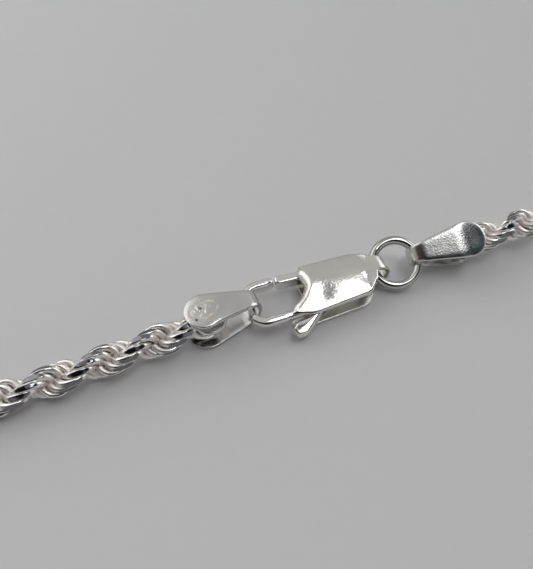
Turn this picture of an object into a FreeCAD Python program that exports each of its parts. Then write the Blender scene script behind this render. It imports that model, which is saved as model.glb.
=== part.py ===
import FreeCAD, Part
import Sketcher
import math
import os

from FreeCAD import Placement, Rotation, Vector

# A fastened silver rope-chain necklace lying on a table. X runs along the clasp from its hook to its
# eye, Z is up from the table, and the loop of rope lies on the +Y side. The origin is on the table,
# under the middle of the clasp.

document = FreeCAD.newDocument("RopeChainNecklace")

# ---------------------------------------------------------------- driving dimensions (mm, degrees)

DIMENSIONS = {
    # rope: bent wire links, each turned and moved on by the same step from the one before
    "LinkRadius": 1.18,
    "LinkWire": 0.34,
    "LinkPitch": 0.88,
    "LinkTwist": 148.5,
    "LinkLean": 11.5,
    "LinkOffset": 0.07,
    "LinkSlit": 10,
    "SolderRadius": 0.2,
    "SolderAngle": 40,
    "SolderAngleNext": 274,
    "LinksPerSegment": 12,
    "SegmentsPerSide": 20,
    "LinksInCap": 3,
    "RopeGap": 2.1,
    "RopeDescent": 22,
    # lie of the loop
    "FarSide": 118,
    "NearHandle": 128,
    "RightHeading": 3,
    "RightCapHeading": -2,
    "LeftHeading": 187,
    # folded clasp shell
    "SheetThickness": 0.4,
    "ShellHeight": 2.9,
    "ShellEdgeHeight": 2.4,
    "ShellHalfWidth": 2.55,
    "EyeWidth": 1.5,
    "EyeShift": 0.45,
    "EyeCentre": 4.1,
    # hook
    "HookWidth": 0.85,
    "HookHeight": 1.15,
    "HookBottom": 0.9,
    "HookBend": 1.15,
    "HookFillet": 0.36,
    # trigger, its pin and its spring
    "LeverBottom": 0.75,
    "LeverHeight": 1.2,
    "LeverFillet": 0.2,
    "PivotAlong": -0.6,
    "PivotAcross": 1.35,
    "PinRadius": 0.3,
    "PinHeight": 1.8,
    "PinClearance": 0.05,
    "SpringWire": 0.16,
    "SpringRadius": 0.52,
    "SpringTurns": 2.25,
    "SpringPitch": 0.19,
    "SpringLeg": 2.4,
    "SpringSeatRadius": 0.68,
    "SpringSeatDepth": 0.35,
    # jump ring
    "RingRadius": 2.1,
    "RingWire": 0.75,
    "RingTilt": 26,
    "RingLift": 9.2,
    "RingStart": 4.3,
    "WireHeight": 1.45,
    # folded end caps
    "CapLength": 6.7,
    "CapRadius": 1.68,
    "CapThickness": 0.3,
    "CapNeckWidth": 1.3,
    "CapClearance": 0.17,
    "CapFoldRadius": 1.55,
    "CapHeight": 3.8,
    "CapRise": 2.4,
    "CapReach": 1.05,
}

sheet = document.addObject("Spreadsheet::Sheet", "Dimensions")
for row, (alias, value) in enumerate(DIMENSIONS.items(), start=1):
    sheet.set(f"A{row}", alias)
    sheet.set(f"B{row}", str(value))
    sheet.setAlias(f"B{row}", alias)
document.recompute()


def size(alias):
    """A driving dimension, read from the sheet."""
    return float(sheet.get(alias))


# ---------------------------------------------------------------- helpers


def bind(feature, **cells):
    """Ties each named property of a feature to an expression over the sheet's cells."""
    for name, expression in cells.items():
        feature.setExpression(name, expression)


def cell(text):
    """An expression in which each word in braces is a cell of the sheet."""
    return text.replace("{", "Dimensions.").replace("}", "")


def line(start, end):
    return Part.LineSegment(Vector(*start, 0), Vector(*end, 0))


def arc(start, middle, end):
    return Part.Arc(Vector(*start, 0), Vector(*middle, 0), Vector(*end, 0))


def polygon(points):
    """The closed run of lines through plan points."""
    return [line(a, b) for a, b in zip(points, points[1:] + points[:1])]


def new_body(label):
    body = document.addObject("PartDesign::Body", label)
    body.Label = label
    return body


def new_sketch(body, name, plane, geometry):
    """A sketch on one of the body's origin planes."""
    sketch = body.newObject("Sketcher::SketchObject", name)
    origin_plane = next(f for f in body.Origin.OriginFeatures if f.Role == plane)
    sketch.AttachmentSupport = (origin_plane, "")
    sketch.MapMode = "FlatFace"
    sketch.addGeometry(geometry, False)
    return sketch


def new_pad(body, name, sketch, length, base):
    """A pad of the sketch that starts at height base; both are expressions."""
    pad = body.newObject("PartDesign::Pad", name)
    pad.Profile = sketch
    bind(pad, Length=cell(length))
    bind(sketch, **{".AttachmentOffset.Base.z": cell(base)})
    document.recompute()
    return pad


def new_pocket(body, name, sketch, length, base, reverse=False):
    """A pocket of the sketch from height base: down from it, or up when reversed."""
    pocket = body.newObject("PartDesign::Pocket", name)
    pocket.Profile = sketch
    pocket.Reversed = reverse
    bind(pocket, Length=cell(length))
    bind(sketch, **{".AttachmentOffset.Base.z": cell(base)})
    document.recompute()
    return pocket


def round_edges(body, name, feature, wanted, radius):
    """Fillets the feature's edges for which wanted(edge) is true; radius is an expression."""
    edges = [f"Edge{i}" for i, e in enumerate(feature.Shape.Edges, start=1) if wanted(e)]
    fillet = body.newObject("PartDesign::Fillet", name)
    fillet.Base = (feature, edges)
    bind(fillet, Radius=cell(radius))
    document.recompute()
    return fillet


def is_level(edge):
    """True for an edge that lies in one horizontal plane."""
    return edge.BoundBox.ZLength < 1e-6


def is_upright(edge):
    """True for an edge that stands straight up."""
    return edge.BoundBox.XLength < 1e-6 and edge.BoundBox.YLength < 1e-6


def new_feature(label, shape):
    feature = document.addObject("Part::Feature", label)
    feature.Label = label
    feature.Shape = shape
    return feature


# ---------------------------------------------------------------- clasp shell


def shell_outline():
    """Plan outline of both shell plates, anticlockwise from the top of the mouth."""
    half = size("ShellHalfWidth")
    eye = size("EyeCentre")
    eye_low = size("EyeShift") - size("EyeWidth") / 2
    eye_high = size("EyeShift") + size("EyeWidth") / 2
    mouth = [(-2.45, half - 0.2), (-2.65, 1.2), (-3.0, -0.1), (-3.7, -0.95), (-4.5, -1.85)]
    near_edge = [(-2.5, -half), (2.8, -half + 0.45), (3.7, -1.1)]
    eye_end = [(eye, eye_low), (eye, eye_high)]
    far_edge = [(2.7, half), (-2.1, half)]
    return mouth + near_edge + eye_end + far_edge


def shell_ridge():
    """The narrow top of the roofed front plate, one point for each point of the outline."""
    eye = size("EyeCentre")
    eye_low = size("EyeShift") - size("EyeWidth") / 2
    eye_high = size("EyeShift") + size("EyeWidth") / 2
    left = [(-2.05, 0.7), (-2.15, 0.6), (-2.25, 0.5), (-2.35, 0.4), (-2.45, 0.3)]
    near = [(-2.2, 0.2), (2.8, 0.0), (3.6, -0.2)]
    right = [(eye, eye_low), (eye, eye_high)]
    far = [(2.7, 0.45), (-1.95, 0.75)]
    return left + near + right + far


def wire_at(points, height):
    corners = [Vector(x, y, height) for x, y in points]
    return Part.makePolygon(corners + corners[:1])


def prism(points, bottom, top):
    return Part.Face(wire_at(points, bottom)).extrude(Vector(0, 0, top - bottom))


def eye_fold():
    """The strip that joins the two plates and wraps the jump ring's wire."""
    outer = size("ShellHeight") / 2
    inner = outer - size("SheetThickness")
    width = size("EyeWidth")
    start = Vector(size("EyeCentre"), size("EyeShift") - width / 2, outer)
    across = Vector(0, 1, 0)
    tube = Part.makeCylinder(outer, width, start, across)
    tube = tube.cut(Part.makeCylinder(inner, width, start, across))
    right_half = Part.makeBox(2 * outer, width, 2 * outer, start - Vector(0, 0, outer))
    return tube.common(right_half)


def clasp_shell():
    """One folded sheet: a flat back plate, a roofed front plate and the eye between them."""
    sheet_thickness = size("SheetThickness")
    edge = size("ShellEdgeHeight")
    outline = shell_outline()
    roof = Part.makeLoft([wire_at(outline, edge), wire_at(shell_ridge(), size("ShellHeight"))], True, True)
    block = prism(outline, 1, edge).fuse(roof)
    hollow = block.translated(Vector(0, 0, -sheet_thickness))
    front_plate = block.cut(hollow)
    back_plate = prism(outline, 0, sheet_thickness)
    return front_plate.multiFuse([eye_fold(), back_plate]).removeSplitter()


new_feature("clasp_shell", clasp_shell())

# ---------------------------------------------------------------- hook


def build_hook():
    """A solid bar that leaves the shell, rounds the mouth and ends at the gate."""
    width = size("HookWidth")
    bend = size("HookBend")
    inner = bend - width / 2
    outer = bend + width / 2
    root, tip = -3.45, -5.0
    centre_x = -6.6
    low_y = -1.7 + bend
    high_y = 2.12 - bend
    diagonal = math.sqrt(0.5)

    def ring_points(radius, centre_y, side):
        """A quarter turn from the left bar to the low (side -1) or high (side 1) bar."""
        left = (centre_x - radius, centre_y)
        middle = (centre_x - radius * diagonal, centre_y + side * radius * diagonal)
        end = (centre_x, centre_y + side * radius)
        return left, middle, end

    low_out, low_in = ring_points(outer, low_y, -1), ring_points(inner, low_y, -1)
    high_out, high_in = ring_points(outer, high_y, 1), ring_points(inner, high_y, 1)
    outline = [
        arc(*low_out),
        line(low_out[2], (root, low_out[2][1])),
        line((root, low_out[2][1]), (root, low_in[2][1])),
        line((root, low_in[2][1]), low_in[2]),
        arc(*reversed(low_in)),
        line(low_in[0], high_in[0]),
        arc(*high_in),
        line(high_in[2], (tip, high_in[2][1])),
        line((tip, high_in[2][1]), (tip, high_out[2][1])),
        line((tip, high_out[2][1]), high_out[2]),
        arc(*reversed(high_out)),
        line(high_out[0], low_out[0]),
    ]
    body = new_body("clasp_hook")
    sketch = new_sketch(body, "hook_outline", "XY_Plane", outline)
    pad = new_pad(body, "hook_bar", sketch, "{HookHeight}", "{HookBottom}")
    round_edges(body, "hook_rounding", pad, is_level, "{HookFillet}")


build_hook()

# ---------------------------------------------------------------- trigger lever


def build_lever():
    """Gate, pivot boss and thumb knob in one piece, rocking on the pin between the plates."""
    pivot = Vector(size("PivotAlong"), size("PivotAcross"), 0)
    gate = [(-4.8, 2.55), (-4.8, 1.62), (-2.0, 1.5)]
    arm_left = [(-2.55, -1.9), (-3.0, -2.42)]
    knob = [(-4.35, -2.55), (-4.8, -3.0), (-4.6, -3.5), (-4.05, -3.6)]
    arm_right = [(-2.5, -2.95), (-1.3, -1.9), (0.2, 1.0), (0.15, 1.9), (-0.5, 2.25)]
    body = new_body("trigger_lever")
    sketch = new_sketch(body, "lever_outline", "XY_Plane", polygon(gate + arm_left + knob + arm_right))
    pad = new_pad(body, "lever_plate", sketch, "{LeverHeight}", "{LeverBottom}")
    rounded = round_edges(body, "lever_rounding", pad, is_upright, "{LeverFillet}")

    bore = Part.Circle(pivot, Vector(0, 0, 1), size("PinRadius") + size("PinClearance"))
    bore_sketch = new_sketch(body, "pin_bore_outline", "XY_Plane", [bore])
    new_pocket(body, "pin_bore", bore_sketch, "{LeverHeight}", "{LeverBottom}", True)

    seat = Part.Circle(pivot, Vector(0, 0, 1), size("SpringSeatRadius"))
    seat_sketch = new_sketch(body, "spring_seat_outline", "XY_Plane", [seat])
    cut = new_pocket(body, "spring_seat", seat_sketch, "{SpringSeatDepth}", "{LeverBottom}", True)
    if cut.Shape.Volume >= rounded.Shape.Volume:
        raise RuntimeError("the lever's bore and spring seat cut nothing")


build_lever()

# ---------------------------------------------------------------- pivot pin and spring


def build_pin():
    """The rivet pin that the trigger turns on, standing on the back plate."""
    pin = document.addObject("Part::Cylinder", "trigger_pin")
    pin.Label = "trigger_pin"
    bind(pin, Radius=cell("{PinRadius}"), Height=cell("{PinHeight}"))
    bind(pin, **{".Placement.Base.x": cell("{PivotAlong}")})
    bind(pin, **{".Placement.Base.y": cell("{PivotAcross}")})
    bind(pin, **{".Placement.Base.z": cell("{SheetThickness}")})


def trigger_spring():
    """A torsion spring round the pin, with one straight leg along the back plate."""
    wire_radius = size("SpringWire") / 2
    radius = size("SpringRadius")
    pitch = size("SpringPitch")
    bottom = size("SheetThickness") + wire_radius + 0.02
    centre = Vector(size("PivotAlong"), size("PivotAcross"), bottom)
    coil = Part.makeHelix(pitch, pitch * size("SpringTurns"), radius)
    coil.translate(centre)
    start = centre + Vector(radius, 0, 0)
    leg = Part.makeLine(start + Vector(0, -size("SpringLeg"), 0), start)
    section = Part.Wire(Part.makeCircle(wire_radius, leg.Vertexes[0].Point, Vector(0, 1, 0)))
    straight = Part.Face(section).extrude(Vector(0, size("SpringLeg"), 0))
    profile = Part.Wire(Part.makeCircle(wire_radius, start, Vector(0, 1, 0)))
    turns = Part.Wire(coil.Edges).makePipeShell([profile], True, True)
    return straight.fuse(turns).removeSplitter()


build_pin()
new_feature("trigger_spring", trigger_spring())

# ---------------------------------------------------------------- jump ring


def build_jump_ring():
    """A round-wire ring through the eye and the right cap, leaning towards the near side."""
    ring = document.addObject("Part::Torus", "jump_ring")
    ring.Label = "jump_ring"
    bind(ring, Radius1=cell("{RingRadius}"), Radius2=cell("{RingWire} / 2"))
    ring.Placement = ring_start() * Placement(Vector(size("RingRadius"), 0, 0), Rotation())


def ring_start():
    """The ring's plane, placed on its wire's middle inside the eye; local X crosses the ring."""
    wire = Vector(size("RingStart"), size("EyeShift"), size("WireHeight"))
    lift = Rotation(Vector(0, 1, 0), -size("RingLift"))
    tilt = Rotation(Vector(1, 0, 0), size("RingTilt"))
    return Placement(wire, lift * tilt)


build_jump_ring()

# ---------------------------------------------------------------- end caps


def build_cap(label, placement):
    """A teardrop strip folded double. Its local origin is under the fold's inner bar, on the
    lower plate's outer face, and the rope leaves along local +X."""
    fold = size("CapFoldRadius")
    thickness = size("CapThickness")
    inner = fold - thickness
    height = size("CapHeight")
    rise = size("CapRise")
    fold_x = fold - size("CapReach")
    end = size("CapLength") - size("CapReach")
    slope = math.atan2(height - 2 * fold, rise - fold_x)
    lift = thickness * math.tan(slope / 2)
    profile = [
        line((end, 0), (end, thickness)),
        line((end, thickness), (fold_x, thickness)),
        arc((fold_x, thickness), (fold_x - inner, fold), (fold_x, fold + inner)),
        line((fold_x, fold + inner), (rise + lift, height - thickness)),
        line((rise + lift, height - thickness), (end, height - thickness)),
        line((end, height - thickness), (end, height)),
        line((end, height), (rise, height)),
        line((rise, height), (fold_x, 2 * fold)),
        arc((fold_x, 2 * fold), (fold_x - fold, fold), (fold_x, 0)),
        line((fold_x, 0), (end, 0)),
    ]
    body = new_body(label)
    side_view = new_sketch(body, label + "_side", "XZ_Plane", profile)
    strip = body.newObject("PartDesign::Pad", label + "_strip")
    strip.Profile = side_view
    strip.SideType = "Symmetric"
    bind(strip, Length=cell("2 * {CapRadius} + 2"))

    radius = size("CapRadius")
    neck = size("CapNeckWidth") / 2
    back = -size("CapReach") - 0.5
    round_x = end - radius
    neck_distance = math.hypot(round_x - back, neck)
    shoulder_angle = math.atan2(neck, round_x - back) + math.acos(radius / neck_distance)
    shoulder = (round_x - radius * math.cos(shoulder_angle), radius * math.sin(shoulder_angle))
    teardrop = [
        line((back, -neck), (shoulder[0], -shoulder[1])),
        arc((shoulder[0], -shoulder[1]), (end, 0), shoulder),
        line(shoulder, (back, neck)),
        line((back, neck), (back, -neck)),
    ]
    margin = radius + 2
    frame = polygon([(back - 1, -margin), (end + 1, -margin), (end + 1, margin), (back - 1, margin)])
    trim = new_sketch(body, label + "_plan", "XY_Plane", frame + teardrop)
    new_pocket(body, label + "_trim", trim, "{CapHeight} + 2", "-1", True)
    body.Placement = placement


def left_cap_placement():
    """Hooked on the clasp: the fold's inner space holds the hook's left bar."""
    heading = Rotation(Vector(0, 0, 1), size("LeftHeading"))
    hook_bar = Vector(-6.6 - size("HookBend"), 0.35, 0)
    return Placement(hook_bar, heading)


def right_cap_placement():
    """Hung on the jump ring and rolled with it, so that the fold's axis follows the ring's wire."""
    wire = ring_start().multVec(Vector(2 * size("RingRadius"), 0, 0))
    heading = Rotation(Vector(0, 0, 1), size("RightCapHeading"))
    roll = Rotation(Vector(1, 0, 0), size("RingTilt"))
    reach = size("CapReach") - size("CapThickness") - size("RingWire") / 2 - size("CapClearance")
    return Placement(wire, heading * roll) * Placement(Vector(reach, 0, -size("CapFoldRadius")), Rotation())


build_cap("left_end_cap", left_cap_placement())
build_cap("right_end_cap", right_cap_placement())

# ---------------------------------------------------------------- rope


def rope_radius():
    return size("LinkRadius") + size("LinkOffset") + size("LinkWire") / 2


def link():
    """One C-shaped link in its own frame, its slit towards the rope's axis direction."""
    sweep = 360 - size("LinkSlit")
    ring = Part.makeTorus(size("LinkRadius"), size("LinkWire") / 2, Vector(), Vector(0, 0, 1), 0, 360, sweep)
    ring.rotate(Vector(), Vector(0, 0, 1), size("LinkSlit") / 2)
    return ring


def heading_vector(heading):
    return Rotation(Vector(0, 0, 1), heading).multVec(Vector(1, 0, 0))


class HalfRope:
    """The line that one half of the rope follows: straight inside its end cap, then one curve
    round to the middle of the far side."""

    def __init__(self, start, cap_heading, rope_heading):
        self.start = start
        self.cap_direction = heading_vector(cap_heading)
        self.rope_direction = heading_vector(rope_heading)
        self.lead = size("LinksInCap") * size("LinkPitch")
        self.links = int(size("LinksInCap") + size("LinksPerSegment") * size("SegmentsPerSide"))
        self.curve = self.fitted_curve(self.links * size("LinkPitch") - self.lead)

    def bent_curve(self, far_handle):
        """The rope's line in plan, drawn at the height where it lies on the table."""
        lie = rope_radius()
        side = math.copysign(1, self.rope_direction.x)
        begin = self.start + self.cap_direction * self.lead
        begin.z = lie
        near_pole = begin + self.rope_direction * size("NearHandle")
        far_end = Vector(side * size("RopeGap") / 2, size("FarSide"), lie)
        far_pole = far_end + Vector(side * far_handle, 0, 0)
        curve = Part.BezierCurve()
        curve.setPoles([begin, near_pole, far_pole, far_end])
        return curve

    def fitted_curve(self, length):
        """The curve that holds exactly this length, found by moving its far handle."""
        low, high = 5.0, 200.0
        for _ in range(40):
            middle = (low + high) / 2
            if self.bent_curve(middle).length() < length:
                low = middle
            else:
                high = middle
        return self.bent_curve(low)

    def point(self, distance):
        """The point of the rope's line this far along it. Past the cap it eases down to the table."""
        if distance <= self.lead:
            return self.start + self.cap_direction * distance
        beyond = min(distance - self.lead, self.curve.length())
        point = self.curve.value(self.curve.parameterAtDistance(beyond, 0))
        descent = min(beyond / size("RopeDescent"), 1)
        point.z += (self.start.z - point.z) * (1 + math.cos(math.pi * descent)) / 2
        return point

    def frame(self, distance):
        """The rope's own frame: X along it, away from its cap, and Z as near up as can be."""
        step = 0.05
        along = (self.point(distance) - self.point(distance - step)).normalize()
        across = Vector(0, 0, 1).cross(along).normalize()
        return Placement(self.point(distance), Rotation(along, across, along.cross(across), "XYZ"))

    def placement(self, index, turned_as):
        """The frame at the middle of link number index, turned as that numbered link is."""
        turn = Placement(Vector(), Rotation(Vector(1, 0, 0), turned_as * size("LinkTwist")))
        return self.frame((index + 0.5) * size("LinkPitch")) * turn


def next_link(steps):
    """From one link's place to that of the link so many steps on, along a straight rope."""
    turn = Rotation(Vector(1, 0, 0), steps * size("LinkTwist"))
    lean = Placement(Vector(0, size("LinkOffset"), 0), Rotation(Vector(0, 1, 0), size("LinkLean")))
    return Placement(Vector(steps * size("LinkPitch"), 0, 0), turn) * lean


def link_pair():
    """Two links side by side and the bead of solder that joins them where they come closest."""
    links = [link().transformed(next_link(step).toMatrix()) for step in range(2)]
    spots = []
    for step, angle in enumerate((size("SolderAngle"), size("SolderAngleNext"))):
        around = Rotation(Vector(0, 0, 1), angle).multVec(Vector(size("LinkRadius"), 0, 0))
        spots.append(next_link(step).multVec(around))
    bead = Part.makeSphere(size("SolderRadius"), (spots[0] + spots[1]) / 2)
    pair = links[0].multiFuse([links[1], bead])
    if not pair.isValid() or len(pair.Solids) != 1:
        raise RuntimeError("the two links and their solder don't make one solid")
    return pair.Solids[0].translated(Vector(-size("LinkPitch") / 2, 0, 0))


def build_rope(side, rope):
    """The links of one half, grouped into the end links in the cap and the rope's segments."""
    per_segment = int(size("LinksPerSegment"))
    in_cap = int(size("LinksInCap"))
    groups = {f"{side}_end_links": range(in_cap)}
    for number in range(int(size("SegmentsPerSide"))):
        first = in_cap + number * per_segment
        groups[f"{side}_rope_{number + 1:02d}"] = range(first, first + per_segment)
    pair = link_pair()
    single = link().transformed(next_link(0).toMatrix())
    for label, indices in groups.items():
        solids = []
        for index in indices[::2]:
            if index + 1 in indices:
                solids.append(pair.transformed(rope.placement(index + 0.5, index).toMatrix()))
            else:
                solids.append(single.transformed(rope.placement(index, index).toMatrix()))
        new_feature(label, Part.makeCompound(solids))
        end = rope.frame(indices.stop * size("LinkPitch"))
        along = end.Rotation.multVec(Vector(1, 0, 0))
        print(f"end {label} {end.Base.x:.4f} {end.Base.y:.4f} {end.Base.z:.4f} {along.x:.5f} {along.y:.5f}")


def rope_start(cap_placement):
    """Where the rope begins, midway between the cap's plates."""
    inside = size("CapLength") - size("CapReach") - (size("LinksInCap") + 0.5) * size("LinkPitch")
    return cap_placement.multVec(Vector(inside, 0, size("CapHeight") / 2))


right_start = rope_start(right_cap_placement())
left_start = rope_start(left_cap_placement())
build_rope("right", HalfRope(right_start, size("RightCapHeading"), size("RightHeading")))
build_rope("left", HalfRope(left_start, size("LeftHeading"), size("LeftHeading")))

# ---------------------------------------------------------------- checks and export

document.recompute()
os.makedirs("parts", exist_ok=True)

SUB_PART_TYPES = ("PartDesign::Body", "Part::Feature", "Part::Cylinder", "Part::Torus")
for thing in document.Objects:
    if "Invalid" in thing.State or "Error" in thing.State:
        raise RuntimeError(f"{thing.Label} did not build: {thing.State}")

for thing in document.Objects:
    if thing.TypeId not in SUB_PART_TYPES:
        continue
    if thing.Shape.isNull() or not thing.Shape.isValid() or not thing.Shape.Solids:
        raise RuntimeError(f"{thing.Label} has no valid solid")
    thing.Shape.exportStep(f"parts/{thing.Label}.step")
    box = thing.Shape.BoundBox
    print(f"{thing.Label}: {len(thing.Shape.Solids)} solids, {thing.Shape.Volume:.3f} mm3,"
          f" z {box.ZMin:.2f} to {box.ZMax:.2f}")
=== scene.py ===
import math

import bpy
import numpy as np
from mathutils import Matrix, Vector


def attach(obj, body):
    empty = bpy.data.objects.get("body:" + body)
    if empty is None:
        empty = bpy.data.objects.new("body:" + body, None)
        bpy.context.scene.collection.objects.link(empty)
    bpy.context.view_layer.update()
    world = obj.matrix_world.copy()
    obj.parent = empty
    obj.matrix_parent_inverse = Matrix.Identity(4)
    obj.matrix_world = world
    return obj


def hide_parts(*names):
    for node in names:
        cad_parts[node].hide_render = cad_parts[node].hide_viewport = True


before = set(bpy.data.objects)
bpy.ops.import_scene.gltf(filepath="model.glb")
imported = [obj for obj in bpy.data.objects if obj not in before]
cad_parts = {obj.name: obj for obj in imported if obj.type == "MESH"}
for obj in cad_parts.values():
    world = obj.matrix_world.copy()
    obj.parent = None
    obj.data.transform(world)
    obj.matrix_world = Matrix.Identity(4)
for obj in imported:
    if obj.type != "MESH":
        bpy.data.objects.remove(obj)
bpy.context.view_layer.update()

# Sizes below are in millimetres, in the CAD's frame: +X towards the right end cap, +Y away from
# the camera towards the far side of the loop, and +Z up off the table.
MM = 0.001

# ------------------------------------------------------------------ mesh helpers

SECTION_POINTS = 28
CORNER_POINTS = 8
LONGEST_CORNER = 0.49
PLATE_EDGE_ROWS = 5


def new_piece(name, points, faces, material, smooth=True):
    """A mesh object from points in millimetres."""
    mesh = bpy.data.meshes.new(name)
    mesh.from_pydata((np.asarray(points, float) * MM).tolist(), [], faces)
    mesh.polygons.foreach_set("use_smooth", [smooth] * len(mesh.polygons))
    mesh.materials.append(material)
    mesh.validate()
    mesh.update()
    piece = bpy.data.objects.new(name, mesh)
    bpy.context.scene.collection.objects.link(piece)
    return piece


def finish_piece(piece, body, nodes):
    """Puts a piece on its body in place of its CAD nodes."""
    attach(piece, body)
    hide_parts(*nodes)


def mark(piece, name, values):
    """Stores one number per point for the materials to read."""
    attribute = piece.data.attributes.new(name, "FLOAT", "POINT")
    attribute.data.foreach_set("value", values)


def grid_faces(rows, columns, wrap_rows=False, wrap_columns=False):
    """Quads over a grid of points stored row by row."""
    faces = []
    for row in range(rows if wrap_rows else rows - 1):
        next_row = (row + 1) % rows
        for column in range(columns if wrap_columns else columns - 1):
            next_column = (column + 1) % columns
            a, b = row * columns + column, row * columns + next_column
            c, d = next_row * columns + next_column, next_row * columns + column
            faces.append((a, b, c, d))
    return faces


def tube_faces(rows, columns):
    """Quads round a tube of rings of points, and a flat face on each of its ends."""
    faces = grid_faces(rows, columns, wrap_columns=True)
    faces.append(tuple(reversed(range(columns))))
    faces.append(tuple(range((rows - 1) * columns, rows * columns)))
    return faces


def flipped(faces, shift=0):
    """The same faces turned over, on points stored shift places further on."""
    return [tuple(i + shift for i in reversed(face)) for face in faces]


def merged(parts):
    """One list of points and faces from several."""
    points, faces = [], []
    for part_points, part_faces in parts:
        faces += [tuple(i + len(points) for i in face) for face in part_faces]
        points += [tuple(p) for p in part_points]
    return points, faces


def between(value, start, end):
    """0 at start and before it, 1 at end and past it, straight in between."""
    return max(0.0, min(1.0, (value - start) / (end - start)))


def unit(vector):
    """The same direction with a length of 1."""
    return vector / np.linalg.norm(vector)


def directions(line):
    """Unit vectors along a line, one at each of its points."""
    steps = np.gradient(line, axis=0)
    return steps / np.linalg.norm(steps, axis=1)[:, None]


def turned(start, corner, end, count):
    """Points on the curve that leaves start towards corner and reaches end from there."""
    shares = np.linspace(0, 1, count)
    return [(1 - t) ** 2 * start + 2 * t * (1 - t) * corner + t ** 2 * end for t in shares]


def rounded_loop(corners):
    """A closed plan outline through corners (x, y, radius), each turned by a curve."""
    loop = []
    for i, (x, y, radius) in enumerate(corners):
        corner = np.array((x, y), float)
        back = np.array(corners[i - 1][:2], float) - corner
        ahead = np.array(corners[(i + 1) % len(corners)][:2], float) - corner
        longest = LONGEST_CORNER * min(np.linalg.norm(back), np.linalg.norm(ahead))
        back, ahead = unit(back), unit(ahead)
        half = math.acos(max(-1.0, min(1.0, float(back @ ahead)))) / 2
        reach = min(radius / math.tan(half), longest)
        loop += turned(corner + back * reach, corner, corner + ahead * reach, CORNER_POINTS)
    return np.array(loop)


def evenly(loop, count, closed=True):
    """The same line with count evenly spaced points."""
    line = np.vstack([loop, loop[:1]]) if closed else loop
    travelled = np.concatenate([[0], np.cumsum(np.linalg.norm(np.diff(line, axis=0), axis=1))])
    wanted = np.linspace(0, travelled[-1], count, endpoint=not closed)
    return np.stack([np.interp(wanted, travelled, line[:, k]) for k in range(line.shape[1])], axis=1)


def plate(loop, bottom, top, edge):
    """A closed flat plate over a plan outline, with its edges rounded to the radius edge."""
    ahead = np.roll(loop, -1, axis=0) - np.roll(loop, 1, axis=0)
    inward = np.stack([-ahead[:, 1], ahead[:, 0]], axis=1)
    inward /= np.linalg.norm(inward, axis=1)[:, None]
    rows = []
    for angle in np.linspace(0, math.pi / 2, PLATE_EDGE_ROWS):
        rows.append((edge * (1 - math.sin(angle)), bottom + edge * (1 - math.cos(angle))))
    rows += [(inset, top + bottom - height) for inset, height in reversed(rows)]
    points = []
    for inset, height in rows:
        points += [(x, y, height) for x, y in loop + inward * inset]
    return points, tube_faces(len(rows), len(loop))


def squared_circle(half_width, half_height, power):
    """Section between an ellipse (power 2) and a rectangle (high power)."""
    section = []
    for angle in np.linspace(0, 2 * math.pi, SECTION_POINTS, endpoint=False):
        c, s = math.cos(angle), math.sin(angle)
        section.append((half_width * math.copysign(abs(c) ** (2 / power), c),
                        half_height * math.copysign(abs(s) ** (2 / power), s)))
    return section


def swept_bar(path, section, ups, scales):
    """A closed bar: section points (across, up) carried along a path and scaled on the way."""
    points = []
    for centre, ahead, up, scale in zip(path, directions(path), ups, scales):
        across = unit(np.cross(up, ahead))
        square_up = np.cross(ahead, across)
        points += [centre + scale * (a * across + b * square_up) for a, b in section]
    return points, tube_faces(len(path), len(section))


def strip_bar(line, middle, half_width, thickness, power):
    """A closed sheet strip swept along a side profile in X and Z."""
    section = squared_circle(half_width, thickness / 2, power)
    points = []
    for (x, z), (tx, tz) in zip(line, directions(line)):
        points += [(x - tz * b, middle + a, z + tx * b) for a, b in section]
    return points, tube_faces(len(line), len(section))


def add_bevel(piece, width, segments, angle):
    """Rounds the edges of a piece that turn by more than angle degrees."""
    bevel = piece.modifiers.new("edge_rounding", "BEVEL")
    bevel.width = width * MM
    bevel.segments = segments
    bevel.angle_limit = math.radians(angle)
    bevel.harden_normals = False


# ------------------------------------------------------------------ materials

PATCH_SCALE = 450.0
PATCH_SPAN = (0.3, 0.7)
PATCH_SHADE = 0.9
POLISHED, UNPOLISHED = 0.75, 1.3
FILM_ROUGHNESS = 0.3
CUT_ROUGHNESS = -0.1
RUB_TURN = (0.0, 0.0, 0.5)
RUB_SCALE = (900.0, 9000.0, 4000.0)


def noise(tree, place, scale, detail):
    """The value of a noise texture over these coordinates."""
    texture = tree.nodes.new("ShaderNodeTexNoise")
    texture.inputs["Scale"].default_value = scale
    texture.inputs["Detail"].default_value = detail
    tree.links.new(place, texture.inputs["Vector"])
    return texture.outputs["Fac"]


def shaded(tree, value, first, last, span=(0.0, 1.0)):
    """A colour that goes from the first to the last as the value crosses a span."""
    ramp = tree.nodes.new("ShaderNodeValToRGB")
    for element, position, colour in zip(ramp.color_ramp.elements, span, (first, last)):
        element.position = position
        element.color = (*colour, 1)
    tree.links.new(value, ramp.inputs["Fac"])
    return ramp.outputs["Color"]


def remapped(tree, value, start, end, low=0.0, high=1.0, kind="SMOOTHSTEP"):
    """low where the value is at start, high where it is at end, and held there past them."""
    node = tree.nodes.new("ShaderNodeMapRange")
    node.interpolation_type = kind
    for name, number in (("From Min", start), ("From Max", end), ("To Min", low), ("To Max", high)):
        node.inputs[name].default_value = number
    tree.links.new(value, node.inputs["Value"])
    return node.outputs["Result"]


def blend(tree, base, added, factor):
    """The base colour, given as numbers or as a socket, with the added colour over it."""
    mix = tree.nodes.new("ShaderNodeMix")
    mix.data_type = "RGBA"
    factor_in, base_in, added_in, result = mix.inputs[0], mix.inputs[6], mix.inputs[7], mix.outputs[2]
    tree.links.new(factor, factor_in)
    added_in.default_value = (*added, 1)
    if isinstance(base, tuple):
        base_in.default_value = (*base, 1)
    else:
        tree.links.new(base, base_in)
    return result


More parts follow.
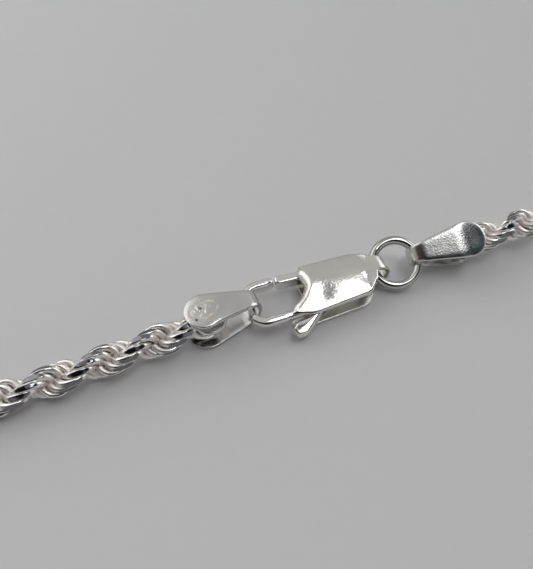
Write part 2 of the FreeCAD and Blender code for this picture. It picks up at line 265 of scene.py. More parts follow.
def shifted(tree, base, amount, factor):
    """The base value plus amount times the factor, kept between 0 and 1."""
    total = tree.nodes.new("ShaderNodeMath")
    total.operation = "MULTIPLY_ADD"
    total.use_clamp = True
    factor_in, amount_in, base_in = total.inputs
    tree.links.new(factor, factor_in)
    amount_in.default_value = amount
    tree.links.new(base, base_in)
    return total.outputs["Value"]


def bumps(tree, height, depth):
    """A bump node for a height texture that is depth millimetres deep."""
    bump = tree.nodes.new("ShaderNodeBump")
    bump.inputs["Distance"].default_value = depth * MM
    bump.inputs["Strength"].default_value = 1.0
    tree.links.new(height, bump.inputs["Height"])
    return bump


def silver(name, tint, roughness, scratch, grain_scale, grain_depth, stain_and_shade_colour=None, painted_reflection_and_pit_colour=None):
    """Polished silver with fine rub marks, a slightly uneven polish and a grainy casting skin.

    The first added colour goes where the mesh's stain-and-shade attribute is 1, with a duller polish: a
    real stain in the caps' stamp, and painted shade deep inside the rope. The second goes where its
    reflection-and-pits attribute is 1, with a brighter polish: a painted dark reflection on the rope's
    mirror-bright cut facets, and dark pits on the caps."""
    material = bpy.data.materials.new(name)
    material.use_nodes = True
    tree = material.node_tree
    shader = tree.nodes["Principled BSDF"]
    shader.inputs["Metallic"].default_value = 1.0
    place = tree.nodes.new("ShaderNodeTexCoord").outputs["Object"]

    patches = noise(tree, place, PATCH_SCALE, detail=3.0)
    colour = shaded(tree, patches, [c * PATCH_SHADE for c in tint], tint, PATCH_SPAN)
    dullness = remapped(tree, patches, *PATCH_SPAN, roughness * POLISHED, roughness * UNPOLISHED, "LINEAR")
    # Painted shade deep inside the rope and a painted dark reflection on its cut facets are laid on here,
    # as are the caps' real stain and dark pits.
    for attribute, added, change in (("stain_and_shade", stain_and_shade_colour, FILM_ROUGHNESS), ("painted_reflection_and_pits", painted_reflection_and_pit_colour, CUT_ROUGHNESS)):
        if added:
            reader = tree.nodes.new("ShaderNodeAttribute")
            reader.attribute_name = attribute
            colour = blend(tree, colour, added, reader.outputs["Fac"])
            dullness = shifted(tree, dullness, change, reader.outputs["Fac"])
    tree.links.new(colour, shader.inputs["Base Color"])
    tree.links.new(dullness, shader.inputs["Roughness"])

    stretch = tree.nodes.new("ShaderNodeMapping")
    stretch.inputs["Rotation"].default_value = RUB_TURN
    stretch.inputs["Scale"].default_value = RUB_SCALE
    tree.links.new(place, stretch.inputs["Vector"])
    skin = bumps(tree, noise(tree, place, grain_scale, detail=4.0), grain_depth)
    rubs = bumps(tree, noise(tree, stretch.outputs["Vector"], 1.0, detail=2.0), scratch)
    tree.links.new(skin.outputs["Normal"], rubs.inputs["Normal"])
    tree.links.new(rubs.outputs["Normal"], shader.inputs["Normal"])
    return material


SHEET_SILVER = silver("sheet_silver", tint=(0.77, 0.76, 0.73), roughness=0.18,
                      scratch=0.002, grain_scale=6000, grain_depth=0.014)
CAST_SILVER = silver("cast_silver", tint=(0.84, 0.82, 0.79), roughness=0.13,
                     scratch=0.002, grain_scale=1500, grain_depth=0.01)
CAP_SILVER = silver("cap_silver", tint=(0.665, 0.665, 0.66), roughness=0.2,
                    scratch=0.003, grain_scale=6000, grain_depth=0.010,
                    stain_and_shade_colour=(0.62, 0.56, 0.44), painted_reflection_and_pit_colour=(0.02, 0.02, 0.03))
# The ring's tint, darker than the other silvers', is a painted dark reflection along its wire.
RING_SILVER = silver("ring_silver", tint=(0.52, 0.52, 0.50), roughness=0.08,
                     scratch=0.001, grain_scale=900, grain_depth=0.006)
# The rope's stain colour is painted shade deep inside it, and its darker facet colour is a painted dark
# reflection on the cut facets.
ROPE_SILVER = silver("rope_silver", tint=(0.97, 0.95, 0.92), roughness=0.16,
                     scratch=0.002, grain_scale=2600, grain_depth=0.012,
                     stain_and_shade_colour=(0.86, 0.81, 0.79), painted_reflection_and_pit_colour=(0.22, 0.22, 0.24))
SPRING_STEEL = silver("spring_steel", tint=(0.6, 0.6, 0.58), roughness=0.35,
                      scratch=0.004, grain_scale=3000, grain_depth=0.01)

# ------------------------------------------------------------------ where things lie

HOOK_LOW, HOOK_HIGH, HOOK_LEFT = -1.7, 2.12, -7.75
RING_RADIUS = 2.1
RING_WIRE = 0.4
# The wire radius that the CAD's cap bears on, which sets where the right cap lies.
RING_BEARING = 0.375
RING_TILT = math.radians(26)
RING_LIFT = math.radians(9.2)
RING_START = np.array((4.3, 0.45, 1.45))
RING_ALONG = np.array((math.cos(RING_LIFT), 0, math.sin(RING_LIFT)))
RING_ACROSS = np.array((-math.sin(RING_TILT) * math.sin(RING_LIFT), math.cos(RING_TILT),
                        math.sin(RING_TILT) * math.cos(RING_LIFT)))

CAP_LENGTH = 6.7
CAP_RADIUS = 1.68
CAP_SHEET = 0.3
CAP_NECK = 0.65
CAP_FOLD = 1.55
CAP_HEIGHT = 3.8
CAP_REACH = 1.05
CAP_CLEARANCE = 0.17
LEFT_HEADING = math.radians(187)
RIGHT_CAP_HEADING = math.radians(-2)
RIGHT_HEADING = math.radians(3)

left_place = Matrix.Translation((HOOK_LEFT, 0.35, 0)) @ Matrix.Rotation(LEFT_HEADING, 4, "Z")
ring_far = Vector(RING_START + 2 * RING_RADIUS * RING_ALONG)
right_turn = Matrix.Rotation(RIGHT_CAP_HEADING, 4, "Z") @ Matrix.Rotation(RING_TILT, 4, "X")
right_reach = CAP_REACH - CAP_SHEET - RING_BEARING - CAP_CLEARANCE
right_place = Matrix.Translation(ring_far) @ right_turn @ Matrix.Translation((right_reach, 0, -CAP_FOLD))

# ------------------------------------------------------------------ rope

# Each half starts START_INSIDE short of its cap's round end, runs straight for LEAD, comes down to
# LIE_HEIGHT over DESCENT and ends at FAR_SIDE, with ROPE_GAP between the halves there.
SEGMENT_LENGTH = 10.56
SEGMENTS = 20
LEAD = 2.64
LEAD_POINTS = 60
START_INSIDE = 3.08
LIE_HEIGHT = 1.42
DESCENT = 22
FAR_SIDE = 118
NEAR_HANDLE = 128
SHORTEST_FAR_HANDLE, LONGEST_FAR_HANDLE = 5.0, 200.0
HALVINGS = 30
CURVE_POINTS = 6000
TANGENT_STEP = 0.05
ROPE_GAP = 2.1

LINKS_PER_SEGMENT = 16
LINK_PITCH = SEGMENT_LENGTH / LINKS_PER_SEGMENT
LINKS_IN_CAP = 4
LINK_TWIST = math.radians(152.9)
LINK_UNEVENNESS = 0.02
LINK_RADIUS = 1.16
LINK_OFFSET = 0.06
LINK_HALF_SLIT = math.radians(5)
WIRE_RADIUS = 0.3
LINK_SIDES = 18
LINK_STEPS = 46
FACET_DEPTH = 0.13
FACET_BEND = 2.3
FACET_HALF_LENGTH = 1.05
# Painted shade: a dull, darker tint that thickens towards the rope's axis, between the wires.
PAINTED_SHADE_RISE, PAINTED_SHADE_LEVEL = 2.2, -0.35


def heading_vector(heading):
    return np.array((math.cos(heading), math.sin(heading), 0))


class HalfRope:
    """The line that one half of the rope follows, sampled along its length from inside its cap."""

    def __init__(self, place, cap_heading, rope_heading):
        inside = CAP_LENGTH - CAP_REACH - START_INSIDE
        start = np.array(place @ Vector((inside, 0, CAP_HEIGHT / 2)))
        leaving = heading_vector(cap_heading)
        lead_travelled = np.linspace(0, LEAD, LEAD_POINTS, endpoint=False)
        lead = start + np.outer(lead_travelled, leaving)
        curve, travelled = self.fitted(start + leaving * LEAD, heading_vector(rope_heading))
        descent = np.minimum(travelled / DESCENT, 1)
        curve[:, 2] += (start[2] - LIE_HEIGHT) * (1 + np.cos(math.pi * descent)) / 2
        self.points = np.vstack([lead, curve])
        self.travelled = np.concatenate([lead_travelled, LEAD + travelled])

    def bent(self, begin, rope_direction, far_handle):
        """A curve from begin to the middle of the far side, and the length travelled along it."""
        side = math.copysign(1, rope_direction[0])
        begin = np.array((begin[0], begin[1], LIE_HEIGHT))
        far_end = np.array((side * ROPE_GAP / 2, FAR_SIDE, LIE_HEIGHT))
        near_pole = begin + rope_direction * NEAR_HANDLE
        far_pole = far_end + np.array((side * far_handle, 0, 0))
        t = np.linspace(0, 1, CURVE_POINTS)[:, None]
        weights = ((1 - t) ** 3, 3 * t * (1 - t) ** 2, 3 * t ** 2 * (1 - t), t ** 3)
        poles = (begin, near_pole, far_pole, far_end)
        curve = sum(weight * pole for weight, pole in zip(weights, poles))
        steps = np.linalg.norm(np.diff(curve, axis=0), axis=1)
        return curve, np.concatenate([[0], np.cumsum(steps)])

    def fitted(self, begin, rope_direction):
        """The curve that is as long as all the segments, found by moving its far handle."""
        low, high = SHORTEST_FAR_HANDLE, LONGEST_FAR_HANDLE
        for _ in range(HALVINGS):
            middle = (low + high) / 2
            if self.bent(begin, rope_direction, middle)[1][-1] < SEGMENTS * SEGMENT_LENGTH:
                low = middle
            else:
                high = middle
        return self.bent(begin, rope_direction, low)

    def point(self, distance):
        return np.array([np.interp(distance, self.travelled, self.points[:, k]) for k in range(3)])

    def axes(self, distance):
        """Place on the rope's line, and its axes: along the rope, across it and up."""
        place = self.point(distance)
        if distance > TANGENT_STEP:
            along = unit(place - self.point(distance - TANGENT_STEP))
        else:
            along = unit(self.point(TANGENT_STEP) - place)
        across = unit(np.cross((0, 0, 1), along))
        return place, along, across, np.cross(along, across)


def link_surface():
    """One link in its own frame: slit towards +X, wire crests at +Y and -Y, cut flat there."""
    outer = LINK_RADIUS + WIRE_RADIUS
    points, painted_reflection_and_pits = [], []
    for t in np.linspace(LINK_HALF_SLIT, 2 * math.pi - LINK_HALF_SLIT, LINK_STEPS):
        for s in np.linspace(0, 2 * math.pi, LINK_SIDES, endpoint=False):
            reach = LINK_RADIUS + WIRE_RADIUS * math.cos(s)
            x, y = reach * math.cos(t), reach * math.sin(t)
            limit = outer - FACET_DEPTH - x ** 2 / (2 * FACET_BEND)
            flat = abs(x) < FACET_HALF_LENGTH and abs(y) > limit
            if flat:
                y = math.copysign(limit, y)
            # The flat cuts are marked for a painted dark reflection.
            painted_reflection_and_pits.append(float(flat))
            points.append((x, y + LINK_OFFSET, WIRE_RADIUS * math.sin(s)))
    return np.array(points), flipped(tube_faces(LINK_STEPS, LINK_SIDES)), painted_reflection_and_pits


def build_links(node, body, rope, numbers):
    """The closely laid links of one group, in place of its node's widely spaced thin ones."""
    surface, faces, painted_reflection_and_pits = link_surface()
    from_axis = np.hypot(surface[:, 1], surface[:, 2]) / (LINK_RADIUS + LINK_OFFSET + WIRE_RADIUS)
    # Painted shade, strongest near the rope's axis where the wires crowd together.
    stain_and_shade = np.clip(PAINTED_SHADE_RISE * (1 - from_axis) + PAINTED_SHADE_LEVEL, 0, 1)
    parts = []
    for number in numbers:
        place, along, across, up = rope.axes((number + 0.5) * LINK_PITCH)
        turn = number * LINK_TWIST + chance.normal(0, LINK_UNEVENNESS)
        crest = across * math.cos(turn) + up * math.sin(turn)
        sway = chance.normal(0, LINK_UNEVENNESS)
        along, crest = along + sway * crest, crest - sway * along
        parts.append((place + surface @ np.array([along, crest, np.cross(along, crest)]), faces))
    points, all_faces = merged(parts)
    piece = new_piece(node + "_wire", points, all_faces, ROPE_SILVER)
    mark(piece, "stain_and_shade", stain_and_shade.tolist() * len(parts))
    mark(piece, "painted_reflection_and_pits", painted_reflection_and_pits * len(parts))
    finish_piece(piece, body, [node])


def build_rope(side, rope):
    """The links inside one cap, then the segments that follow it."""
    build_links(f"{side}_end_links", f"{side}_cap", rope, range(1, LINKS_IN_CAP))
    for segment in range(SEGMENTS):
        first = LINKS_IN_CAP + segment * LINKS_PER_SEGMENT
        label = f"{side}_rope_{segment + 1:02d}"
        build_links(label, label, rope, range(first, first + LINKS_PER_SEGMENT))


chance = np.random.default_rng(7)
build_rope("right", HalfRope(right_place, RIGHT_CAP_HEADING, RIGHT_HEADING))
build_rope("left", HalfRope(left_place, LEFT_HEADING, LEFT_HEADING))

# ------------------------------------------------------------------ clasp shell

SHEET = 0.4
BACK_EDGE = 0.1
# The roof's ridge passes through these two places in plan.
RIDGE = ((-2.0, 0.62), (3.3, 0.16))
RIDGE_HEIGHT = 2.95
RIDGE_SOFTNESS = 0.2
FAR_SLOPE, FAR_BULGE = 0.22, 0.04
NEAR_SLOPE, NEAR_BULGE = 0.165, 0.024
# Towards the eye the roof flattens to LEVEL_HEIGHT.
LEVEL_START, LEVEL_FULL, LEVEL_HEIGHT = 2.7, 4.0, 2.9
# Each dent: x, y, radius and depth.
DENTS = ((-1.45, -0.85, 0.65, 0.1), (2.9, -0.75, 0.4, 0.07))
EDGE_ROLL, EDGE_DROP = 0.2, 0.12
EYE_ROLL = 0.22
# At the mouth the edge rolls wider and down to LIP_HEIGHT. This lip grows over these x and these y.
LIP_ROLL, LIP_HEIGHT = 0.65, 2.2
LIP_START, LIP_FULL = -1.9, -2.4
LIP_NEAR_START, LIP_NEAR_FULL = -2.1, -1.5
LOWEST_UNDERSIDE = 2.03
ROOF_ROWS = 34
ROW_CROWDING = 1.6
SPINE = np.array(((-0.9, 0.35), (3.2, 0.2)))

# The outline's corners: x, y and the radius that each is turned with.
MOUTH = ((-2.4, 2.55, 0.3), (-2.72, 1.95, 0.6), (-2.55, 0.3, 1.0), (-3.2, -0.55, 0.8), (-3.95, -1.15, 0.8),
         (-4.55, -1.95, 0.12))
NEAR_EDGE = ((-2.6, -2.5, 2.0), (2.8, -2.15, 0.9), (3.75, -1.15, 0.9))
EYE_END = ((4.14, -0.3, 0.1), (4.14, 1.2, 0.15))
FAR_EDGE = ((2.75, 2.55, 1.2),)
OUTLINE_POINTS = 220
SHELL_OUTLINE = evenly(rounded_loop(MOUTH + NEAR_EDGE + EYE_END + FAR_EDGE), OUTLINE_POINTS)

EYE_EDGE = 4.0
EYE_MIDDLE, EYE_HALF_WIDTH = 0.45, 0.75
FOLD_CENTRE_X, FOLD_CENTRE_Z = 4.1, 1.45
FOLD_STEPS = 25
STRIP_TOP_END, STRIP_BACK_END = (3.95, 2.69), (3.3, 0.2)
STRIP_POINTS = 44
STRIP_POWER = 8
SHELL_BEVEL = 0.07


def spine_point(point):
    """The nearest point of the line that the roof's mesh closes on."""
    start, span = SPINE[0], SPINE[1] - SPINE[0]
    return start + span * between(float((point - start) @ span), 0.0, float(span @ span))


def nearest_edge(point):
    """How far the outline is from a point, and where the outline's nearest span starts."""
    spans = np.roll(SHELL_OUTLINE, -1, axis=0) - SHELL_OUTLINE
    offsets = point - SHELL_OUTLINE
    shares = np.clip((offsets * spans).sum(axis=1) / (spans ** 2).sum(axis=1), 0, 1)
    gaps = np.linalg.norm(offsets - shares[:, None] * spans, axis=1)
    nearest = int(np.argmin(gaps))
    return float(gaps[nearest]), SHELL_OUTLINE[nearest]


def soft_min(values, softness):
    """The least of the values, with the corner between them rounded."""
    low = min(values)
    return low - softness * math.log(sum(math.exp((low - v) / softness) for v in values))


def roof_height(x, y):
    """The front plate's height before its edges turn down."""
    (ridge_left, ridge_left_y), (ridge_right, ridge_right_y) = RIDGE
    share = (x - ridge_left) / (ridge_right - ridge_left)
    beyond = y - (ridge_left_y + share * (ridge_right_y - ridge_left_y))
    far = RIDGE_HEIGHT - FAR_SLOPE * beyond - FAR_BULGE * max(0.0, beyond) ** 2
    near = RIDGE_HEIGHT + NEAR_SLOPE * beyond - NEAR_BULGE * min(0.0, beyond) ** 2
    level = between(x, LEVEL_START, LEVEL_FULL)
    level = level * level * (3 - 2 * level)
    height = (1 - level) * soft_min((far, near), RIDGE_SOFTNESS) + level * LEVEL_HEIGHT
    for dent_x, dent_y, radius, depth in DENTS:
        height -= depth * math.exp(-((x - dent_x) ** 2 + (y - dent_y) ** 2) / (2 * radius ** 2))
    return height


def edge_roll(edge, height):
    """How wide the plate's edge rolls over here, and how far it drops from the given height."""
    if edge[0] > EYE_EDGE:
        return EYE_ROLL, 0.0
    lip = between(edge[0], LIP_START, LIP_FULL) * between(edge[1], LIP_NEAR_START, LIP_NEAR_FULL)
    width = EDGE_ROLL + (LIP_ROLL - EDGE_ROLL) * lip
    drop = EDGE_DROP + (height - LIP_HEIGHT - EDGE_DROP) * lip
    return width, drop


def front_plate():
    """A thin roofed plate whose edge rolls down at the mouth."""
    upper = []
    for i in range(ROOF_ROWS):
        share = (i / (ROOF_ROWS - 1)) ** ROW_CROWDING
        for edge in SHELL_OUTLINE:
            point = edge + (spine_point(edge) - edge) * share
            inside, closest = nearest_edge(point)
            height = roof_height(*point)
            width, drop = edge_roll(closest, height)
            upper.append((point[0], point[1], height - drop * max(0.0, 1 - inside / width) ** 2))
    lower = [(x, y, max(z - SHEET, LOWEST_UNDERSIDE)) for x, y, z in upper]
    count = len(SHELL_OUTLINE)
    faces = grid_faces(ROOF_ROWS, count, wrap_columns=True)
    below = flipped(faces, len(upper))
    rim = []
    for i in range(count):
        j = (i + 1) % count
        rim.append((j, i, i + len(upper), j + len(upper)))
    return upper + lower, faces + below + rim


def build_shell():
    """The roofed front plate, the strip folded over at the eye, and the flat back plate."""
    reach = FOLD_CENTRE_Z - SHEET / 2
    turn = np.linspace(math.pi / 2, -math.pi / 2, FOLD_STEPS)
    fold = [(FOLD_CENTRE_X + reach * math.cos(a), FOLD_CENTRE_Z + reach * math.sin(a)) for a in turn]
    line = evenly(np.array([STRIP_TOP_END] + fold + [STRIP_BACK_END]), STRIP_POINTS, closed=False)
    strip = strip_bar(line, EYE_MIDDLE, EYE_HALF_WIDTH, SHEET, STRIP_POWER)
    back = plate(SHELL_OUTLINE, 0.0, SHEET, BACK_EDGE)
    points, faces = merged([front_plate(), strip, back])
    piece = new_piece("clasp_shell_sheet", points, faces, SHEET_SILVER)
    add_bevel(piece, SHELL_BEVEL, segments=3, angle=35)
    finish_piece(piece, "clasp", ["clasp_shell"])


build_shell()

# ------------------------------------------------------------------ hook

HOOK_ROOT, HOOK_TIP = -2.4, -4.95
HOOK_BEND = 1.25
HOOK_BEND_POINTS = 14
HOOK_POINTS = 90
HOOK_HALF_WIDTH = 0.425
HOOK_HALF_HEIGHT = 0.575
HOOK_POWER = 2.8
HOOK_MIDDLE_HEIGHT = 1.475
# The bar leans by HOOK_LEAN at HOOK_LOW, and less and less up to HOOK_LEAN_START.
HOOK_LEAN = 0.33
HOOK_LEAN_START = 0.3
# The two long bars are thicker by this share between SWELL_LEFT_FULL and SWELL_RIGHT_FULL.
HOOK_SWELL = 0.1
SWELL_LEFT_START, SWELL_LEFT_FULL = HOOK_LEFT + 0.4, HOOK_LEFT + 1.4
SWELL_RIGHT_START, SWELL_RIGHT_FULL = -4.2, -5.0
# How the last rings of the bar shrink to round its tip.
TIP_SCALES = [0.99, 0.97, 0.94, 0.9, 0.83, 0.72]


def hook_line():
    """The hook's middle line in plan, from its root round the left end to its tip."""
    root, tip = (HOOK_ROOT, HOOK_LOW), (HOOK_TIP, HOOK_HIGH)
    corners = np.array((root, (HOOK_LEFT, HOOK_LOW), (HOOK_LEFT, HOOK_HIGH), tip))
    line = [corners[0]]
    for i in (1, 2):
        back, ahead = unit(corners[i - 1] - corners[i]), unit(corners[i + 1] - corners[i])
        centre = corners[i] + HOOK_BEND * (back + ahead)
        for angle in np.linspace(0, math.pi / 2, HOOK_BEND_POINTS):
            line.append(centre - HOOK_BEND * (ahead * math.cos(angle) + back * math.sin(angle)))
    line.append(corners[3])
    return evenly(np.array(line), HOOK_POINTS, closed=False)


def build_hook():
    """The bent bar, squarish in section, with a rounded tip."""
    line = hook_line()
    path = np.array([(x, y, HOOK_MIDDLE_HEIGHT) for x, y in line])
    section = squared_circle(HOOK_HALF_WIDTH, HOOK_HALF_HEIGHT, HOOK_POWER)
    scales = [1.0] * (HOOK_POINTS - len(TIP_SCALES)) + TIP_SCALES
    ups = []
    for i, (x, y) in enumerate(line):
        swell = between(x, SWELL_LEFT_START, SWELL_LEFT_FULL)
        swell *= between(x, SWELL_RIGHT_START, SWELL_RIGHT_FULL)
        scales[i] *= 1 + HOOK_SWELL * swell
        ups.append((0, -HOOK_LEAN * between(y, HOOK_LEAN_START, HOOK_LOW), 1))
    points, faces = swept_bar(path, section, ups, scales)
    piece = new_piece("clasp_hook_bar", points, faces, CAST_SILVER)
    finish_piece(piece, "clasp", ["clasp_hook"])


build_hook()

# ------------------------------------------------------------------ trigger lever

# The lever's outline in plan: x, y and the radius that each corner is turned with.
LEVER_CORNERS = (
    (-4.75, 2.55, 0.34), (-4.8, 1.62, 0.45), (-2.0, 1.5, 0.3), (-2.5, -1.9, 0.3), (-3.0, -2.42, 0.3),
    (-4.3, -2.6, 0.4), (-4.85, -3.0, 0.5), (-4.6, -3.65, 0.4), (-3.7, -3.7, 0.5), (-2.75, -2.95, 0.5),
    (-1.3, -1.9, 0.4), (0.2, 1.0, 0.5), (0.15, 1.9, 0.4), (-0.5, 2.25, 0.4),
)
LEVER_POINTS = 160
LEVER_BOTTOM, LEVER_TOP = 0.75, 1.95
LEVER_EDGE = 0.2
KNOB_START = -2.3
KNOB_SLOPE = 0.33


def build_lever():
    """The gate, the pivot's boss and the thumb knob as one plate, whose top slopes down at the knob."""
    loop = evenly(rounded_loop(LEVER_CORNERS), LEVER_POINTS)
    points, faces = plate(loop, LEVER_BOTTOM, LEVER_TOP, LEVER_EDGE)
    middle = (LEVER_BOTTOM + LEVER_TOP) / 2
    sloped = []
    for x, y, z in points:
        drop = KNOB_SLOPE * max(0.0, KNOB_START - y) if z > middle else 0.0
        sloped.append((x, y, z - drop))
    piece = new_piece("trigger_lever_casting", sloped, faces, CAST_SILVER)
    finish_piece(piece, "trigger", ["trigger_lever"])


build_lever()

# The pin and the spring keep their CAD shape.
for node, material in (("trigger_pin", CAST_SILVER), ("trigger_spring", SPRING_STEEL)):
    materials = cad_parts[node].data.materials
    materials.clear()
    materials.append(material)

# ------------------------------------------------------------------ jump ring

RING_STEPS = 96
SOLDER_SWELL = 0.05
SOLDER_ANGLE = 2.2
SOLDER_WIDTH = 0.07


def build_ring():
    """A ring of round wire, a little thicker where it is soldered shut."""
    centre = RING_START + RING_RADIUS * RING_ALONG
    axis = np.cross(RING_ALONG, RING_ACROSS)
    points = []
    for t in np.linspace(0, 2 * math.pi, RING_STEPS, endpoint=False):
        out = math.cos(t) * RING_ALONG + math.sin(t) * RING_ACROSS
        wire = RING_WIRE * (1 + SOLDER_SWELL * math.exp(-((t - SOLDER_ANGLE) / SOLDER_WIDTH) ** 2))
        for s in np.linspace(0, 2 * math.pi, SECTION_POINTS, endpoint=False):
            points.append(centre + out * (RING_RADIUS + wire * math.cos(s)) + axis * wire * math.sin(s))
    faces = flipped(grid_faces(RING_STEPS, SECTION_POINTS, wrap_rows=True, wrap_columns=True))
    piece = new_piece("jump_ring_wire", points, faces, RING_SILVER)
    finish_piece(piece, "jump_ring", ["jump_ring"])


build_ring()

# ------------------------------------------------------------------ end caps

# In a cap's own frame the rope leaves along +X, the bar or wire that it hangs on is near X 0, and
# the underside of its lower plate is at Z 0.
CAP_ROUND_X = CAP_LENGTH - CAP_REACH - CAP_RADIUS
CAP_END_INSET = 0.004
CAP_END_X = CAP_LENGTH - CAP_REACH - CAP_END_INSET
CAP_TAPER_X = -CAP_REACH - 0.5
CAP_SHOULDER = 3.3
CAP_SHOULDER_BEND = 0.6
CAP_SHOULDER_POINTS = 12
CAP_FOLD_POINTS = 31
CAP_ROWS = 240
CAP_COLUMNS = 49
CAP_LEAST_HALF_WIDTH = 0.02
SIDE_ROUNDING, SIDE_ROUNDING_START = 0.12, 0.93
DOME, DOME_POWER = 0.1, 8

STAMP_DEPTH = 0.04
STAMP_HALF_LENGTH, STAMP_HALF_WIDTH = 1.2, 0.75
STAMP_GROOVE = 0.09
STAMP_WORN_PLACES, STAMP_WEAR = 7, 0.3
MARK_RADIUS = 0.1
MARK_COUNT = 26
MARK_SPREAD = np.array((0.85, 0.5))
MARK_STRENGTH = 1.5
WORN_MARKS = [(*chance.uniform(-MARK_SPREAD, MARK_SPREAD), chance.uniform(-MARK_STRENGTH, MARK_STRENGTH))
              for _ in range(MARK_COUNT)]
PITS = ((0.21, -0.28), (0.9, 0.64))
PIT_DARKNESS = 1.6


def cap_half_width(x):
    """Half the strip's width: straight sides that open from the fold to touch the round end."""
    run = CAP_ROUND_X - CAP_TAPER_X
    angle = math.atan2(CAP_NECK, run) + math.acos(CAP_RADIUS / math.hypot(run, CAP_NECK))
    shoulder_x = CAP_ROUND_X - CAP_RADIUS * math.cos(angle)
    shoulder_y = CAP_RADIUS * math.sin(angle)
    if x > shoulder_x:
        return math.sqrt(max(0.0, CAP_RADIUS ** 2 - (x - CAP_ROUND_X) ** 2))
    return CAP_NECK + (shoulder_y - CAP_NECK) * (x - CAP_TAPER_X) / (shoulder_x - CAP_TAPER_X)


def cap_line():
    """Side profile of the folded strip's middle, from the lower end round the fold to the upper."""
    fold_x = CAP_FOLD - CAP_REACH
    mid = CAP_SHEET / 2
    radius = CAP_FOLD - mid
    rise, run = CAP_HEIGHT - mid - CAP_FOLD, CAP_SHOULDER - fold_x
    leave = math.atan2(rise, run) + math.acos(radius / math.hypot(run, rise))
    turn = np.linspace(-math.pi / 2, leave - 2 * math.pi, CAP_FOLD_POINTS)
    fold = [np.array((fold_x + radius * math.cos(a), CAP_FOLD + radius * math.sin(a))) for a in turn]
    corner = np.array((CAP_SHOULDER, CAP_HEIGHT - mid))
    before = corner + CAP_SHOULDER_BEND * unit(fold[-1] - corner)
    after = corner + (CAP_SHOULDER_BEND, 0)
    shoulder = turned(before, corner, after, CAP_SHOULDER_POINTS)
    line = [(CAP_END_X, mid)] + fold + shoulder + [(CAP_END_X, CAP_HEIGHT - mid)]
    return evenly(np.array(line), CAP_ROWS, closed=False)


def hump(x, y, radius):
    return math.exp(-(x * x + y * y) / (radius * radius))


def stamp(x, y):
    """1 in the groove of the shallow oval stamped in the upper plate, with worn marks inside it."""
    from_groove = math.hypot(x / STAMP_HALF_LENGTH, y / STAMP_HALF_WIDTH) - 1
    wear = STAMP_WEAR * (1 - math.sin(STAMP_WORN_PLACES * math.atan2(y, x)))
    depth = (1 - wear) * math.exp(-(from_groove / STAMP_GROOVE) ** 2)
    return depth + sum(strength * hump(x - a, y - b, MARK_RADIUS) for a, b, strength in WORN_MARKS)


def pits(x, y):
    """1 in the two dark pits by the stamp."""
    return min(1.0, PIT_DARKNESS * sum(hump(x - a, y - b, MARK_RADIUS) for a, b in PITS))


def cap_skin(line, face_side, stamped):
    """One side of the folded strip, row by row: its points, and how stained and how dark each is."""
    shares = np.sin(np.linspace(-math.pi / 2, math.pi / 2, CAP_COLUMNS))
    points, stain_and_shade, dark = [], [], []
    for row, ((x, z), (tx, tz)) in enumerate(zip(line, directions(line))):
        half = max(cap_half_width(x), CAP_LEAST_HALF_WIDTH)
        shown = stamped and face_side == 1 and row > CAP_ROWS // 2
        for share in shares:
            y = half * share
            groove = stamp(x - CAP_ROUND_X, y) if shown else 0.0
            stain_and_shade.append(between(groove, 0.0, 1.0))
            dark.append(pits(x - CAP_ROUND_X, y) if shown else 0.0)
            from_end = math.hypot(x - CAP_ROUND_X, y) / CAP_RADIUS if x > CAP_ROUND_X else 0.0
            outward = min(max(abs(share), from_end), 1.0)
            past = between(abs(share), SIDE_ROUNDING_START, 1.0)
            rounding = SIDE_ROUNDING * (1 - math.sqrt(1 - past ** 2))
            b = face_side * (CAP_SHEET / 2 - rounding) - STAMP_DEPTH * groove - DOME * outward ** DOME_POWER
            points.append((x - tz * b, y, z + tx * b))
    return points, stain_and_shade, dark


def rim_faces(rows, columns):
    """Quads that join two grids of points, stored one after the other, along their four borders."""
    count = rows * columns
    near_side = list(range(0, count, columns))
    far_side = [i + columns - 1 for i in near_side]
    first_row = list(range(columns))
    last_row = [i + count - columns for i in first_row]
    faces = []
    for border in (near_side[::-1], far_side, first_row, last_row[::-1]):
        for a, b in zip(border, border[1:]):
            faces.append((a, b, b + count, a + count))
    return faces


def build_cap(side, placement, stamped):
    """placement is the cap's local frame; the rope leaves along its +X."""
    line = cap_line()
    outside, outside_film, outside_dark = cap_skin(line, 1, stamped)
    inside, inside_film, inside_dark = cap_skin(line, -1, stamped)
    points = [tuple(placement @ Vector(p)) for p in outside + inside]
    outside_faces = flipped(grid_faces(CAP_ROWS, CAP_COLUMNS))
    inside_faces = flipped(outside_faces, len(outside))
    faces = outside_faces + inside_faces + rim_faces(CAP_ROWS, CAP_COLUMNS)
    piece = new_piece(f"{side}_end_cap_sheet", points, faces, CAP_SILVER)
    mark(piece, "stain_and_shade", outside_film + inside_film)
    mark(piece, "painted_reflection_and_pits", outside_dark + inside_dark)
    finish_piece(piece, f"{side}_cap", [f"{side}_end_cap"])


build_cap("left", left_place, stamped=True)
build_cap("right", right_place, stamped=False)

# ------------------------------------------------------------------ floor, light and camera

FLOOR_HALF = 4000.0
FIBRE_SCALE = 900.0
CARD_DARK, CARD_PALE = (0.665, 0.664, 0.675), (0.685, 0.684, 0.695)

CAMERA_TARGET = Vector((-5.45, 2.26, 1.3))
CAMERA_DISTANCE = 49.8
CAMERA_AZIMUTH = math.radians(-18.77)
CAMERA_ELEVATION = math.radians(55)
CAMERA_LENS = 35.0
CAMERA_NEAREST = 1.0


def direction(azimuth, elevation):
    """A unit vector; azimuth 0 points to -Y and 90 to +X, as the camera's place is given."""
    return Vector((math.sin(azimuth) * math.cos(elevation), -math.cos(azimuth) * math.cos(elevation),
                   math.sin(elevation)))


ROOM, ROOM_BELOW = (0.52, 0.515, 0.50), (0.34, 0.34, 0.345)
HORIZON_START, HORIZON_FULL = 0.32, 0.08
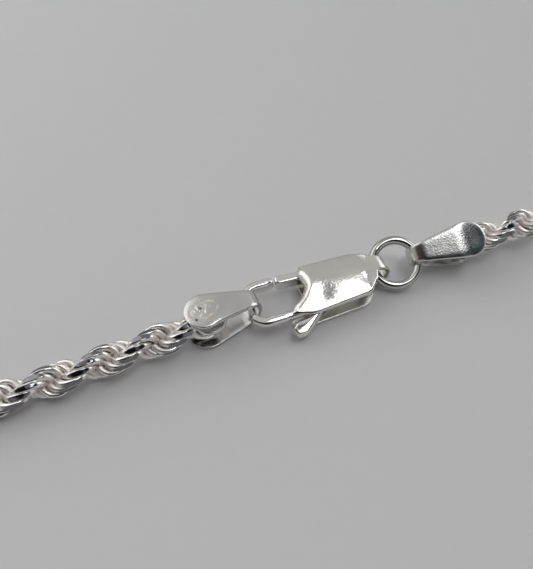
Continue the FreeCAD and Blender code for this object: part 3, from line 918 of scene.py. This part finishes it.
# Soft patches of the room, each laid over those before it: the way to its middle, its colour, and
# how many degrees from its middle it is still full and where it ends.
ROOM_PATCHES = (
    ((-0.75, 0.55, 0.35), (0.7, 0.7, 0.7), 10, 26),
    ((0.93, 0.2, 0.35), (1.8, 1.8, 1.8), 12, 26),
    (direction(CAMERA_AZIMUTH, math.radians(44)), (0.02, 0.02, 0.025), 21, 33),
    ((0.55, -0.4, 0.73), (0.02, 0.035, 0.035), 16, 27),
    ((-0.8, -0.2, 0.56), (0.06, 0.035, 0.03), 14, 26),
    ((-0.5, -0.27, 0.82), (0.03, 0.025, 0.03), 11, 19),
    ((0.2, -0.14, 0.97), (4.0, 4.0, 4.0), 7, 13),
    ((0.33, 0.09, 0.94), (6.0, 6.0, 6.1), 4, 8),
    ((0.16, 0.12, 0.978), (0.02, 0.03, 0.06), 5, 8),
)


def build_floor():
    """A wide pale card under the necklace."""
    material = bpy.data.materials.new("pale_card")
    material.use_nodes = True
    tree = material.node_tree
    shader = tree.nodes["Principled BSDF"]
    shader.inputs["Roughness"].default_value = 0.75
    shader.inputs["Specular IOR Level"].default_value = 0.2
    place = tree.nodes.new("ShaderNodeTexCoord").outputs["Object"]
    shade = shaded(tree, noise(tree, place, FIBRE_SCALE, detail=2.0), CARD_DARK, CARD_PALE)
    tree.links.new(shade, shader.inputs["Base Color"])
    corners = [(x * FLOOR_HALF, y * FLOOR_HALF, 0) for x, y in ((-1, -1), (1, -1), (1, 1), (-1, 1))]
    floor = new_piece("floor", corners, [(0, 1, 2, 3)], material, smooth=False)


def build_world():
    """A grey room, darker low down, with the bright and dark patches that the silver reflects."""
    world = bpy.data.worlds.new("studio")
    bpy.context.scene.world = world
    world.use_nodes = True
    tree = world.node_tree
    background = tree.nodes["Background"]
    view = tree.nodes.new("ShaderNodeTexCoord").outputs["Generated"]

    height = tree.nodes.new("ShaderNodeSeparateXYZ")
    tree.links.new(view, height.inputs["Vector"])
    horizon = remapped(tree, height.outputs["Z"], HORIZON_START, HORIZON_FULL)
    colour = blend(tree, ROOM, ROOM_BELOW, horizon)
    for towards, patch_colour, full, ends in ROOM_PATCHES:
        dot = tree.nodes.new("ShaderNodeVectorMath")
        dot.operation = "DOT_PRODUCT"
        dot.inputs[1].default_value = Vector(towards).normalized()
        tree.links.new(view, dot.inputs[0])
        full_dot, end_dot = math.cos(math.radians(full)), math.cos(math.radians(ends))
        fade = remapped(tree, dot.outputs["Value"], end_dot, full_dot)
        colour = blend(tree, colour, patch_colour, fade)
    tree.links.new(colour, background.inputs["Color"])
    background.inputs["Strength"].default_value = 1.0


def add_light(name, towards, distance, size, power, colour):
    """A square lamp that faces the origin."""
    light = bpy.data.lights.new(name, "AREA")
    light.size = size * MM
    light.energy = power
    light.color = colour
    lamp = bpy.data.objects.new(name, light)
    lamp.location = towards.normalized() * distance * MM
    lamp.rotation_euler = towards.to_track_quat("Z", "Y").to_euler()
    bpy.context.scene.collection.objects.link(lamp)


def build_camera():
    camera = bpy.data.cameras.new("camera")
    camera.lens = CAMERA_LENS
    camera.clip_start = CAMERA_NEAREST * MM
    holder = bpy.data.objects.new("camera", camera)
    back = direction(CAMERA_AZIMUTH, CAMERA_ELEVATION)
    holder.location = (CAMERA_TARGET + back * CAMERA_DISTANCE) * MM
    holder.rotation_euler = back.to_track_quat("Z", "Y").to_euler()
    bpy.context.scene.collection.objects.link(holder)
    bpy.context.scene.camera = holder


build_floor()
build_world()
add_light("key", Vector((-0.55, 0.6, 0.6)), distance=210, size=190, power=0.088,
          colour=(1.0, 0.995, 0.985))
build_camera()
bpy.context.scene.view_settings.view_transform = "Standard"
